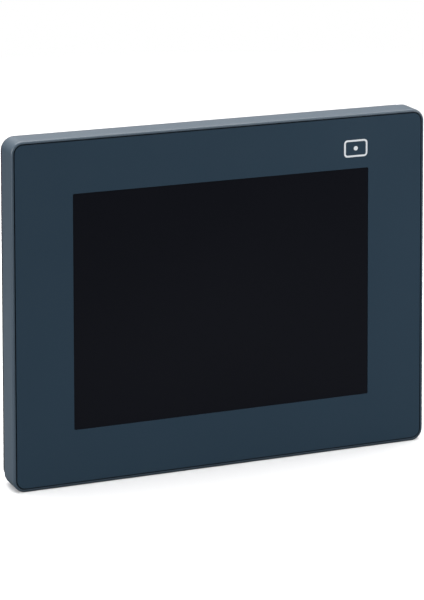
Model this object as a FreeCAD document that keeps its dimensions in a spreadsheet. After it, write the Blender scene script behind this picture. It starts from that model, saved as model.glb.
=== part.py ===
import FreeCAD, Part
import math
import os
import Sketcher

# A touch operator panel for a 22 mm hole in a cabinet door. A thin display module stands in front of
# the door, a threaded neck passes through the hole, and a processor module is plugged on behind.
#
# Frame: +X right as the operator sees it, +Z up, and the operator looks along +Y. The origin is on
# the neck's axis, in the plane where the gasket meets the door. Lengths are in millimetres.

Vector = FreeCAD.Vector

SIZES = [
    # name, millimetres, what it is
    ("front_width", 163.0, "display module, left to right"),
    ("front_height", 129.4, "display module, bottom to top"),
    ("front_corner", 4.6, "radius of the bezel's corners"),
    ("face_y", -17.7, "front of the bezel's rim"),
    ("seam_y", -6.4, "rear edge of the bezel"),
    ("seam_gap", 0.35, "shadow gap between bezel and rear cover"),
    ("cover_y", -2.8, "rear of the cover's outer band"),
    ("plateau_y", -1.0, "rear of the cover's raised middle"),
    ("side_wall", 2.4, "bezel's side wall"),
    ("rim_round", 0.9, "rounding of the bezel's front edge"),
    ("rim_width", 0.95, "rim outside the film's groove"),
    ("film_gap", 0.45, "groove between film and rim"),
    ("film_corner", 3.2, "radius of the film's corners"),
    ("film_seat", 0.5, "depth of the film's seat behind the rim"),
    ("groove_depth", 1.6, "depth of the groove behind the rim"),
    ("face_wall_y", -14.9, "rear of the bezel's front wall"),
    ("film_proud", 0.1, "film's front behind the rim"),
    ("film_thick", 0.2, "each of the two films"),
    ("window_width", 116.8, "visible window, left to right"),
    ("window_height", 87.8, "visible window, bottom to top"),
    ("window_x", 0.0, "window's centre from the neck's axis"),
    ("window_z", 0.0, "window's centre from the neck's axis"),
    ("glass_width", 128.0, "touch glass"),
    ("glass_height", 99.0, "touch glass"),
    ("glass_thick", 1.8, "touch glass"),
    ("glass_gap", 0.25, "gap between touch glass and bezel"),
    ("dust_width", 126.0, "dust gasket's outside"),
    ("dust_height", 96.6, "dust gasket's outside"),
    ("dust_open", 0.7, "dust gasket's opening beyond the window, each side"),
    ("lcd_width", 144.0, "outside of the display's steel frame"),
    ("lcd_height", 104.6, "outside of the display's steel frame"),
    ("lcd_y", -14.7, "front of the display's steel frame"),
    ("lcd_sheet", 0.4, "thickness of the steel frame"),
    ("lcd_open", 0.2, "steel frame's opening beyond the window, each side"),
    ("cell_width", 134.0, "liquid crystal cell"),
    ("cell_height", 97.6, "liquid crystal cell"),
    ("cell_thick", 1.6, "liquid crystal cell"),
    ("diffuser_thick", 0.5, "stack of diffuser sheets"),
    ("guide_thick", 3.0, "light guide"),
    ("guide_height", 92.0, "light guide"),
    ("strip_half", 61.5, "half the length of the backlight's strip"),
    ("strip_thick", 1.0, "backlight's strip"),
    ("lamp_half", 1.9, "half the length of a lamp"),
    ("lamp_tall", 1.6, "lamp above its strip"),
    ("tray_y", -7.6, "rear of the display's plastic tray"),
    ("tail_thick", 0.15, "touch film's flat cable"),
    ("tail_left", 20.0, "left side of that cable"),
    ("tail_right", 34.0, "right side of that cable"),
    ("tail_gap", 0.5, "between that cable and the display's steel frame"),
    ("chassis_y", -7.5, "front of the chassis plate"),
    ("chassis_thick", 0.8, "chassis plate"),
    ("chassis_width", 148.0, "chassis plate"),
    ("chassis_height", 118.8, "chassis plate"),
    ("chassis_bore", 22.0, "radius of the chassis plate's round opening"),
    ("post_x", 45.0, "chassis posts from the axis"),
    ("post_z", 56.6, "chassis posts from the axis"),
    ("post_radius", 2.5, "chassis posts"),
    ("case_screw_x", 74.9, "case screws from the axis"),
    ("case_screw_z", 58.0, "case screws from the axis"),
    ("case_boss", 2.85, "radius of the case screw bosses"),
    ("small_screw", 1.3, "shank radius of the case screws"),
    ("cover_inset", 0.25, "cover's band inside the bezel's outline"),
    ("cover_corner", 5.0, "radius of the cover's corners"),
    ("cover_taper", 7.0, "draft of the cover's band, degrees"),
    ("tongue_width", 158.0, "cover's tongue inside the bezel"),
    ("tongue_height", 124.4, "cover's tongue inside the bezel"),
    ("tongue_thick", 1.2, "cover's tongue"),
    ("tongue_y", -9.6, "front of the cover's tongue"),
    ("floor_y", -4.8, "front of the cover's floor"),
    ("plateau_width", 132.0, "raised middle of the cover"),
    ("plateau_height", 100.0, "raised middle of the cover"),
    ("plateau_corner", 6.0, "raised middle of the cover"),
    ("plateau_wall", 1.6, "wall of the raised middle"),
    ("pad_radius", 20.0, "thick round pad behind the neck's flange"),
    ("pad_y", -3.6, "front of that pad"),
    ("board_y", -5.0, "rear of the display board"),
    ("board_thick", 1.2, "display board"),
    ("neck_shoulder", 11.3, "radius of the neck inside the cover"),
    ("neck_radius", 11.0, "radius of the neck's plain collar"),
    ("neck_bore", 7.5, "radius of the neck's bore"),
    ("collar_y", 2.0, "rear end of the plain collar"),
    ("thread_crest", 10.8, "radius of the thread's crest"),
    ("thread_depth", 0.85, "depth of the thread"),
    ("thread_pitch", 1.5, "thread's advance in one turn"),
    ("thread_y", 13.5, "rear end of the thread"),
    ("thread_lead", 0.6, "bevel at the thread's end"),
    ("stub_radius", 9.6, "neck behind the thread"),
    ("stub_y", 21.0, "rear end of the neck"),
    ("latch_radius", 8.2, "groove in the neck for the lock slider"),
    ("latch_y", 18.5, "front of that groove"),
    ("latch_width", 1.9, "that groove"),
    ("flange_radius", 16.5, "neck's flange"),
    ("neck_screw_pcd", 13.5, "neck screws from the axis"),
    ("neck_screw", 0.95, "shank radius of the neck screws"),
    ("gasket_inner", 12.5, "panel gasket's inner radius"),
    ("gasket_outer", 20.0, "panel gasket's outer radius"),
    ("tee_z", -30.0, "anti-rotation peg from the axis"),
    ("tee_radius", 2.0, "anti-rotation peg"),
    ("tee_y", 2.5, "rear end of the anti-rotation peg"),
    ("door_thick", 3.0, "door plate that the washer stands clear of"),
    ("washer_thick", 0.8, "lock washer"),
    ("washer_inner", 11.2, "lock washer's inner radius"),
    ("washer_outer", 15.5, "lock washer's outer radius"),
    ("nut_thick", 5.5, "fixing nut"),
    ("nut_bore", 10.9, "fixing nut's bore radius"),
    ("nut_outer", 17.0, "fixing nut's outer radius"),
    ("module_width", 116.0, "processor module"),
    ("module_height", 92.0, "processor module"),
    ("module_corner", 4.0, "processor module"),
    ("module_y", 7.0, "front of the processor module"),
    ("part_y", 20.4, "parting plane of the module's covers"),
    ("back_y", 38.8, "back of the processor module"),
    ("module_wall", 2.0, "walls of the module's covers"),
    ("back_wall", 1.8, "back wall and the rail recess's walls"),
    ("vent_pitch", 10.0, "between the vents in the module's top"),
    ("well_radius", 19.0, "round well for the nut"),
    ("well_y", 17.0, "front of the well's floor"),
    ("well_floor", 1.5, "well's floor"),
    ("well_bore", 9.8, "hole in the well's floor"),
    ("module_screw_x", 51.0, "module screws from the axis"),
    ("module_screw_z", 39.5, "module screws from the axis"),
    ("module_boss", 3.0, "radius of the module's screw bosses"),
    ("module_screw", 1.5, "shank radius of the module screws"),
    ("cpu_y", 21.4, "front of the processor board"),
    ("cpu_thick", 1.6, "processor board"),
    ("cpu_width", 108.0, "processor board"),
    ("cpu_height", 85.0, "processor board"),
    ("rail_y", 31.4, "floor of the rail recess"),
    ("rail_top", 18.0, "upper side of the rail recess"),
    ("rail_bottom", -18.4, "lower side of the rail recess"),
    ("rail_hook_y", 32.6, "front of the hook and of the clip"),
    ("hook_half", 48.0, "half the length of the fixed hook"),
    ("clip_half", 8.8, "half the rail clip's width"),
    ("clip_play", 0.2, "gap around the rail clip"),
    ("clip_back", 37.0, "rear of the rail clip"),
    ("clip_top", -15.4, "top of the rail clip's nose"),
    ("clip_bottom", -51.0, "bottom of the rail clip's tab"),
    ("slot_half", 2.6, "half the width of the clip's spring slot"),
    ("slot_top", -26.0, "top of the spring slot"),
    ("slot_bottom", -46.9, "bottom of the spring slot"),
    ("peg_top", -40.4, "top of the spring's peg"),
    ("spring_radius", 1.6, "rail clip spring, to the wire's centre"),
    ("spring_wire", 0.3, "radius of the spring's wire"),
    ("spring_pitch", 1.7, "advance of the spring in one turn"),
    ("lock_half", 12.6, "half the lock slider's width"),
    ("lock_y", 18.7, "front of the lock slider"),
    ("lock_thick", 1.5, "lock slider"),
    ("lock_travel", 6.0, "lock slider's travel"),
    ("lock_hole", 9.9, "open end of the slider's keyhole"),
    ("lock_slot", 8.45, "narrow end of the slider's keyhole"),
    ("tab_half", 6.0, "half the width of the slider's tab"),
    ("tab_top", 56.0, "top of the slider's tab"),
    ("port_z", -45.2, "mouths of the sockets"),
    ("plug_x", -39.6, "middle of the power plug"),
    ("pole_pitch", 5.08, "distance between the power plug's poles"),
    ("plug_half", 7.8, "half the width of the power plug"),
    ("plug_front", 23.0, "front of the power plug"),
    ("plug_back", 34.6, "rear of the power plug"),
    ("plug_top", -46.4, "top of the power plug's body"),
    ("plug_bottom", -61.0, "bottom of the power plug's body"),
    ("pole_z", -54.0, "height of the clamp screws"),
    ("clamp_screw", 1.3, "shank radius of the clamp screws"),
    ("label_thick", 0.15, "blank label"),
]

doc = FreeCAD.newDocument("touch_panel")
sheet = doc.addObject("Spreadsheet::Sheet", "Size")
for row, (alias, amount, note) in enumerate(SIZES, start=1):
    sheet.set(f"A{row}", alias)
    sheet.set(f"B{row}", str(amount))
    sheet.setAlias(f"B{row}", alias)
    sheet.set(f"C{row}", note)
doc.recompute()

NODES = {}


def value(expression):
    """The number that an expression over the sheet stands for."""
    return float(sheet.evalExpression(str(expression)))


def bind(thing, **properties):
    """Bind properties to expressions; a double underscore stands for a dot."""
    for name, expression in properties.items():
        thing.setExpression(name.replace("__", "."), str(expression))


def keep(name, thing):
    """Make an object one of the part's nodes."""
    thing.Label = name
    NODES[name] = thing
    return thing


# ---------------------------------------------------------------- sketches and their features

def new_body(name):
    return keep(name, doc.addObject("PartDesign::Body", f"Body_{name}"))


def new_sketch(body, role, level):
    """A sketch on one of the body's own planes, moved along the plane's normal by level."""
    sketch = body.newObject("Sketcher::SketchObject", f"Sketch_{body.Label}")
    plane = next(item for item in body.Origin.OriginFeatures if item.Role == role)
    sketch.AttachmentSupport = [(plane, "")]
    sketch.MapMode = "FlatFace"
    bind(sketch, AttachmentOffset__Base__z=level)
    return sketch


def across(body, y):
    """A sketch across the Y axis: its own axes are X and Z, and its normal is -Y."""
    return new_sketch(body, "XZ_Plane", f"-({y})")


def level_with(body, z):
    """A level sketch: its own axes are X and Y, and its normal is +Z."""
    return new_sketch(body, "XY_Plane", z)


def dimension(sketch, kind, place, expression):
    """Add a driving dimension to a sketch and bind it to an expression."""
    index = sketch.addConstraint(Sketcher.Constraint(kind, *place, value(expression)))
    sketch.setExpression(f"Constraints[{index}]", str(expression))


def pin_point(sketch, geometry, point, x, y):
    """Hold one point of a sketch at x, y from the sketch's origin."""
    for kind, position in (("DistanceX", x), ("DistanceY", y)):
        if abs(value(position)) > 1e-9:
            dimension(sketch, kind, (-1, 1, geometry, point), position)
        else:
            axis = -2 if kind == "DistanceX" else -1
            sketch.addConstraint(Sketcher.Constraint("PointOnObject", geometry, point, axis))


def draw_circle(sketch, radius, x="0", y="0"):
    centre = Vector(value(x), value(y), 0)
    index = sketch.addGeometry(Part.Circle(centre, Vector(0, 0, 1), value(radius)), False)
    dimension(sketch, "Radius", (index,), radius)
    pin_point(sketch, index, 3, x, y)


def draw_polygon(sketch, points):
    """A closed outline through points given as pairs of expressions."""
    first = sketch.GeometryCount
    count = len(points)
    corners = [Vector(value(x), value(y), 0) for x, y in points]
    for i in range(count):
        sketch.addGeometry(Part.LineSegment(corners[i], corners[(i + 1) % count]), False)
    for i in range(count):
        following = first + (i + 1) % count
        sketch.addConstraint(Sketcher.Constraint("Coincident", first + i, 2, following, 1))
    for i, (x, y) in enumerate(points):
        pin_point(sketch, first + i, 1, x, y)


def draw_rectangle(sketch, x0, x1, y0, y1):
    draw_polygon(sketch, [(x0, y0), (x1, y0), (x1, y1), (x0, y1)])


def draw_rounded(sketch, width, height, radius, x="0", y="0"):
    """A rectangle with round corners, about the centre x, y."""
    first = sketch.GeometryCount
    round_radius = value(radius)
    reach_x = value(width) / 2 - round_radius
    reach_y = value(height) / 2 - round_radius
    for i, (sx, sy) in enumerate([(1, 1), (-1, 1), (-1, -1), (1, -1)]):
        centre = Vector(value(x) + sx * reach_x, value(y) + sy * reach_y, 0)
        circle = Part.Circle(centre, Vector(0, 0, 1), round_radius)
        sketch.addGeometry(Part.ArcOfCircle(circle, i * math.pi / 2, (i + 1) * math.pi / 2), False)
    starts = [sketch.getPoint(first + i, 1) for i in range(4)]
    ends = [sketch.getPoint(first + i, 2) for i in range(4)]
    for i in range(4):
        following = (i + 1) % 4
        sketch.addGeometry(Part.LineSegment(ends[i], starts[following]), False)
        line = first + 4 + i
        sketch.addConstraint(Sketcher.Constraint("Tangent", first + i, 2, line, 1))
        sketch.addConstraint(Sketcher.Constraint("Tangent", line, 2, first + following, 1))
        direction = "Horizontal" if i % 2 == 0 else "Vertical"
        sketch.addConstraint(Sketcher.Constraint(direction, line))
    for i in range(1, 4):
        sketch.addConstraint(Sketcher.Constraint("Equal", first, first + i))
    dimension(sketch, "Radius", (first,), radius)
    for index, sign in ((first, "+"), (first + 2, "-")):
        back = "-" if sign == "+" else "+"
        centre_x = f"{x} {sign} ({width}) / 2 {back} ({radius})"
        centre_y = f"{y} {sign} ({height}) / 2 {back} ({radius})"
        pin_point(sketch, index, 3, centre_x, centre_y)


def feature(body, kind, sketch, length):
    made = body.newObject(kind, f"Feature_{body.Label}")
    made.Profile = (sketch, [""])
    bind(made, Length=length)
    sketch.Visibility = False
    return made


def solid_between(body, y0, y1, draw, taper="0"):
    """Add material between two planes across Y. draw puts the outline in the sketch."""
    sketch = across(body, y1)
    draw(sketch)
    pad = feature(body, "PartDesign::Pad", sketch, f"({y1}) - ({y0})")
    if taper != "0":
        bind(pad, TaperAngle=taper)
    return pad


def cut_between(body, y0, y1, draw):
    """Remove material between two planes across Y."""
    sketch = across(body, y0)
    draw(sketch)
    return feature(body, "PartDesign::Pocket", sketch, f"({y1}) - ({y0})")


def cut_down(body, z0, z1, draw):
    """Remove material between two level planes, z0 below z1."""
    sketch = level_with(body, z1)
    draw(sketch)
    return feature(body, "PartDesign::Pocket", sketch, f"({z1}) - ({z0})")


def round_edges(body, radius, chosen, kind="PartDesign::Fillet"):
    """Round or bevel the edges of the body's shape that chosen accepts."""
    doc.recompute()
    base = body.Tip
    names = [f"Edge{i}" for i, edge in enumerate(base.Shape.Edges, start=1) if chosen(edge)]
    made = body.newObject(kind, f"Edges_{body.Label}")
    made.Base = (base, names)
    bind(made, **{"Radius" if kind.endswith("Fillet") else "Size": radius})
    return made


def edge_at(y, half_width, half_height, slack=0.01):
    """Choose the outline edges in the plane y that run round a face of the given half sizes."""
    def chosen(edge):
        box = edge.BoundBox
        if abs(box.YMin - y) > slack or abs(box.YMax - y) > slack:
            return False
        return (abs(max(box.XMax, -box.XMin) - half_width) < slack
                or abs(max(box.ZMax, -box.ZMin) - half_height) < slack)
    return chosen


# ---------------------------------------------------------------- primitives

def block(x0, x1, y0, y1, z0, z1):
    box = doc.addObject("Part::Box", "Block")
    bind(box, Length=f"({x1}) - ({x0})", Width=f"({y1}) - ({y0})", Height=f"({z1}) - ({z0})")
    bind(box, Placement__Base__x=x0, Placement__Base__y=y0, Placement__Base__z=z0)
    return box


def rod(radius, y0, y1, x="0", z="0"):
    """A round bar along Y."""
    bar = doc.addObject("Part::Cylinder", "Rod")
    bar.Placement = FreeCAD.Placement(Vector(0, 0, 0), FreeCAD.Rotation(Vector(1, 0, 0), -90))
    bind(bar, Radius=radius, Height=f"({y1}) - ({y0})")
    bind(bar, Placement__Base__x=x, Placement__Base__y=y0, Placement__Base__z=z)
    return bar


def joined(parts):
    fuse = doc.addObject("Part::MultiFuse", "Joined")
    fuse.Shapes = parts
    return fuse


def without(base, tools):
    cut = doc.addObject("Part::Cut", "Without")
    cut.Base = base
    cut.Tool = tools[0] if len(tools) == 1 else joined(tools)
    return cut


def group(name, parts):
    """Separate solids that share one node."""
    made = doc.addObject("Part::Compound", f"Group_{name}")
    made.Links = parts
    return keep(name, made)


def span(start, length, towards):
    """The two ends of a length measured from start along Y, the lower one first."""
    far = f"({start}) {'+' if towards > 0 else '-'} ({length})"
    return (start, far) if towards > 0 else (far, start)


def screw(x, z, seat, head, shank, towards=-1):
    """A cross-recessed screw along Y. head and shank are pairs of radius and length, the seat is the
    underside of the head, and the shank points along Y by the sign of towards."""
    head_radius, head_thick = head
    shank_radius, shank_length = shank
    whole = joined([
        rod(head_radius, *span(seat, head_thick, -towards), x, z),
        rod(shank_radius, *span(seat, shank_length, towards), x, z),
    ])
    top = f"({seat}) {'-' if towards > 0 else '+'} ({head_thick})"
    recess_depth = span(top, f"({head_thick}) * 0.55", towards)
    long_half = f"({head_radius}) * 0.6"
    short_half = f"({head_radius}) * 0.16"
    recess = [
        block(f"({x}) - ({a})", f"({x}) + ({a})", *recess_depth, f"({z}) - ({b})", f"({z}) + ({b})")
        for a, b in ((long_half, short_half), (short_half, long_half))
    ]
    return without(whole, recess)


# ---------------------------------------------------------------- display module

def corners(x, z):
    """The four places at plus and minus x, z."""
    return [(f"{sx} * {x}", f"{sz} * {z}") for sx in (-1, 1) for sz in (-1, 1)]


AXIS = [("0", "0")]
CASE_CORNERS = corners("Size.case_screw_x", "Size.case_screw_z")
CASE_MIDDLES = [("0", f"{sign} * Size.case_screw_z") for sign in (-1, 1)]
CASE_SCREWS = CASE_CORNERS + CASE_MIDDLES
CHASSIS_POSTS = corners("Size.post_x", "Size.post_z")
FILM_BACK = "Size.face_y + Size.film_seat"
GLASS_BACK = f"{FILM_BACK} + Size.glass_thick"
FILM_INSET = "2 * (Size.rim_width + Size.film_gap)"
GROOVE_INSET = "2 * Size.rim_width"


def window_shape(sketch, extra="0", radius="0.6"):
    """The window's outline, larger by extra on each side."""
    width, height = (f"Size.window_{side} + 2 * ({extra})" for side in ("width", "height"))
    draw_rounded(sketch, width, height, radius, "Size.window_x", "Size.window_z")


def centred_on_window(width, height, radius):
    return lambda sketch: draw_rounded(sketch, width, height, radius, "Size.window_x", "Size.window_z")


def film_outline(sketch):
    width, height = (f"Size.front_{side} - {FILM_INSET}" for side in ("width", "height"))
    draw_rounded(sketch, width, height, "Size.film_corner")


def seat_outline(sketch):
    width, height = (f"Size.front_{side} - {GROOVE_INSET}" for side in ("width", "height"))
    draw_rounded(sketch, width, height, "Size.film_corner + Size.film_gap")


def circles_at(places, radius):
    def draw(sketch):
        for x, z in places:
            draw_circle(sketch, radius, x, z)
    return draw


def make_front_bezel():
    glass_room = [f"Size.glass_{side} + 2 * Size.glass_gap" for side in ("width", "height")]
    cavity = [f"Size.front_{side} - 2 * Size.side_wall" for side in ("width", "height")]
    hole_start = "Size.face_wall_y + 1.5"
    body = new_body("front_bezel")
    solid_between(body, "Size.face_y", "Size.seam_y", lambda sketch: draw_rounded(
        sketch, "Size.front_width", "Size.front_height", "Size.front_corner"))
    round_edges(body, "Size.rim_round", edge_at(
        value("Size.face_y"), value("Size.front_width / 2"), value("Size.front_height / 2")))
    cut_between(body, "Size.face_y", FILM_BACK, seat_outline)

    def groove(sketch):
        seat_outline(sketch)
        film_outline(sketch)
    cut_between(body, "Size.face_y", "Size.face_y + Size.groove_depth", groove)
    cut_between(body, "Size.face_wall_y", "Size.seam_y", lambda sketch: draw_rounded(
        sketch, *cavity, "Size.front_corner - Size.side_wall"))
    cut_between(body, "Size.face_y", "Size.face_wall_y", centred_on_window(*glass_room, "1"))
    solid_between(body, "Size.face_wall_y", "Size.floor_y", circles_at(CASE_SCREWS, "Size.case_boss"))
    solid_between(body, "Size.face_wall_y", "Size.chassis_y", circles_at(CHASSIS_POSTS, "Size.post_radius"))
    cut_between(body, hole_start, "Size.floor_y", circles_at(
        CASE_SCREWS + CHASSIS_POSTS, "Size.small_screw + 0.05"))


def make_films_and_glass():
    front = "Size.face_y + Size.film_proud"
    between = f"{front} + Size.film_thick"
    film = new_body("decor_film")

    def frame(sketch):
        film_outline(sketch)
        window_shape(sketch)
    solid_between(film, front, between, frame)

    touch = new_body("touch_film")
    solid_between(touch, between, FILM_BACK, film_outline)

    glass = new_body("touch_glass")
    solid_between(glass, FILM_BACK, GLASS_BACK, centred_on_window(
        "Size.glass_width", "Size.glass_height", "0.8"))

    gasket = new_body("dust_gasket")

    def ring(sketch):
        centred_on_window("Size.dust_width", "Size.dust_height", "2")(sketch)
        window_shape(sketch, "Size.dust_open", "1.2")
    solid_between(gasket, GLASS_BACK, "Size.lcd_y", ring)


def make_touch_tail():
    """The touch film's flat cable: over the bezel's wall, down past the display, up to the board."""
    thin = "Size.tail_thick"
    edge = "Size.window_z - Size.glass_height / 2 + 0.1"
    below_display = "Size.window_z - Size.lcd_height / 2 - Size.tail_gap"
    before_display = f"Size.lcd_y - {thin} - 0.04"
    board_front = "Size.board_y - Size.board_thick"
    connector_z = "-33"
    runs = [
        (GLASS_BACK, f"{GLASS_BACK} + {thin}", edge, f"{edge} + 0.8"),
        (GLASS_BACK, f"{before_display} + {thin}", edge, f"{edge} + {thin}"),
        (before_display, f"{before_display} + {thin}", f"{below_display} - {thin}", f"{edge} + {thin}"),
        (before_display, board_front, f"{below_display} - {thin}", below_display),
        (f"{board_front} - {thin}", board_front, f"{below_display} - {thin}", connector_z),
    ]
    keep("touch_tail", joined([block("Size.tail_left", "Size.tail_right", *run) for run in runs]))


def make_liquid_crystal_display():
    cell_front = "Size.lcd_y + Size.lcd_sheet"
    cell_back = f"{cell_front} + Size.cell_thick"
    sheet_back = f"{cell_back} + Size.diffuser_thick"
    guide_back = f"{sheet_back} + Size.guide_thick"
    frame_side = "1.2"
    inside = ("Size.lcd_width - 2 * Size.lcd_sheet", "Size.lcd_height - 2 * Size.lcd_sheet", "0.6")
    tray_room = ("Size.cell_width + 0.4", "Size.cell_height + 0.4", "0.6")
    cell_outline = centred_on_window("Size.cell_width", "Size.cell_height", "0.5")

    frame = new_body("lcd_frame")
    solid_between(frame, "Size.lcd_y", f"Size.tray_y - {frame_side}", centred_on_window(
        "Size.lcd_width", "Size.lcd_height", "1"))
    cut_between(frame, cell_front, "Size.tray_y", centred_on_window(*inside))
    cut_between(frame, "Size.lcd_y", cell_front, lambda sketch: window_shape(sketch, "Size.lcd_open"))

    tray = new_body("lcd_tray")
    solid_between(tray, cell_front, "Size.tray_y", centred_on_window(*inside))
    cut_between(tray, cell_front, guide_back, centred_on_window(*tray_room))

    cell = new_body("lcd_glass")
    solid_between(cell, cell_front, cell_back, cell_outline)

    sheets = new_body("diffuser_sheets")
    solid_between(sheets, cell_back, sheet_back, cell_outline)

    guide_z = "Size.window_z + (Size.cell_height - Size.guide_height) / 2"
    guide = new_body("light_guide")
    solid_between(guide, sheet_back, guide_back, lambda sketch: draw_rounded(
        sketch, "Size.cell_width", "Size.guide_height", "0.5", "Size.window_x", guide_z))

    bottom = "Size.window_z - Size.cell_height / 2"
    lamp_foot = f"{bottom} + Size.strip_thick"
    strip = block("-Size.strip_half", "Size.strip_half", sheet_back, guide_back, bottom, lamp_foot)
    lamps = [
        block(f"{x} - Size.lamp_half", f"{x} + Size.lamp_half", f"{sheet_back} + 0.6", f"{guide_back} - 0.6",
              lamp_foot, f"{lamp_foot} + Size.lamp_tall")
        for x in range(-55, 56, 10)
    ]
    keep("backlight_strip", joined([strip] + lamps))


def make_display_chassis():
    back = "Size.chassis_y + Size.chassis_thick"
    side_openings = [("-48", "14", "60"), ("48", "14", "60")]
    low_and_high_openings = [("-38", "30", "12"), ("38", "30", "12")]
    body = new_body("display_chassis")
    solid_between(body, "Size.chassis_y", back, lambda sketch: draw_rounded(
        sketch, "Size.chassis_width", "Size.chassis_height", "14"))

    def openings(sketch):
        draw_circle(sketch, "Size.chassis_bore")
        circles_at(CHASSIS_POSTS, "Size.small_screw + 0.1")(sketch)
        draw_rectangle(sketch, "Size.tail_left - 1", "Size.tail_right + 1", "-54.2", "-51.8")
        for x, width, height in side_openings:
            draw_rounded(sketch, width, height, "3", x)
        for z, width, height in low_and_high_openings:
            draw_rounded(sketch, width, height, "3", "-18", z)
    cut_between(body, "Size.chassis_y", back, openings)
    # The bezel's middle screw bosses pass the plate at its top and bottom edges.
    cut_between(body, "Size.chassis_y", back, circles_at(CASE_MIDDLES, "Size.case_boss + 0.4"))
    group("chassis_screws", [
        screw(x, z, back, head=("2.2", "0.6"), shank=("Size.small_screw", "5")) for x, z in CHASSIS_POSTS
    ])


NECK_SCREWS = [
    (f"Size.neck_screw_pcd * {math.cos(math.radians(angle)):.6f}",
     f"Size.neck_screw_pcd * {math.sin(math.radians(angle)):.6f}")
    for angle in (45, 135, 225, 315)
]


def make_display_board():
    front = "Size.board_y - Size.board_thick"
    back = "Size.board_y"
    body = new_body("display_board")
    solid_between(body, front, back, lambda sketch: draw_rounded(sketch, "96", "70", "2"))
    cut_between(body, front, back, circles_at(NECK_SCREWS, "Size.neck_screw + 0.1"))

    # Each package: left, right, bottom, top and its height above the board.
    packages = [
        (-44, -34, 20, 28, 1.2),
        (-44, -20, -30, -14, 1.4),
        (24, 34, 14, 24, 1.2),
        (26, 40, -26, -12, 1.6),
        (18, 36, -34, -29, 1.5),
    ]
    large = [
        block(x0, x1, back, f"{back} + {height}", z0, z1) for x0, x1, z0, z1, height in packages
    ]
    small = [
        block(x, x + 1.6, back, f"{back} + 0.8", z, z + 0.9) for x in range(-44, 44, 8) for z in (30, 32)
    ]
    group("display_board_parts", large + small)


def make_rear_cover():
    front = "Size.seam_y + Size.seam_gap"
    width, height = (f"Size.front_{side} - 2 * Size.cover_inset" for side in ("width", "height"))
    narrower = "2 * (Size.cover_y - Size.seam_y - Size.seam_gap) * tan(Size.cover_taper)"
    tongue = [f"Size.tongue_{side}" for side in ("width", "height")]
    tongue_inside = [f"{side} - 2 * Size.tongue_thick" for side in tongue]
    plateau = [f"Size.plateau_{side}" for side in ("width", "height")]
    plateau_inside = [f"{side} - 2 * Size.plateau_wall" for side in plateau]
    head_seat = "Size.cover_y - 1"

    body = new_body("display_rear_cover")
    solid_between(body, front, "Size.cover_y", lambda sketch: draw_rounded(
        sketch, f"{width} - {narrower}", f"{height} - {narrower}", "Size.cover_corner"), "Size.cover_taper")
    solid_between(body, "Size.tongue_y", front, lambda sketch: draw_rounded(sketch, *tongue, "2.5"))
    solid_between(body, "Size.cover_y - 0.1", "Size.plateau_y", lambda sketch: draw_rounded(
        sketch, *plateau, "Size.plateau_corner"))
    cut_between(body, "Size.tongue_y", "Size.floor_y", lambda sketch: draw_rounded(
        sketch, *tongue_inside, "2"))
    cut_between(body, "Size.floor_y", "Size.plateau_y - Size.plateau_wall", lambda sketch: draw_rounded(
        sketch, *plateau_inside, "Size.plateau_corner - Size.plateau_wall"))

    solid_between(body, "Size.pad_y", "Size.plateau_y", circles_at(AXIS, "Size.pad_radius"))
    cut_between(body, "Size.pad_y", "Size.plateau_y", circles_at(AXIS, "Size.neck_shoulder + 0.1"))
    cut_between(body, "Size.pad_y", "Size.plateau_y - 0.6", circles_at(NECK_SCREWS, "Size.neck_screw + 0.05"))
    cut_between(body, "Size.floor_y", "Size.plateau_y", circles_at(
        [("0", "Size.tee_z")], "Size.tee_radius + 0.05"))
    cut_between(body, "Size.floor_y", "Size.cover_y", circles_at(CASE_SCREWS, "Size.small_screw + 0.1"))
    cut_between(body, head_seat, "Size.cover_y", circles_at(CASE_SCREWS, "2.6"))
    group("rear_cover_screws", [
        screw(x, z, head_seat, head=("2.3", "0.8"), shank=("Size.small_screw", "7")) for x, z in CASE_SCREWS
    ])


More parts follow.
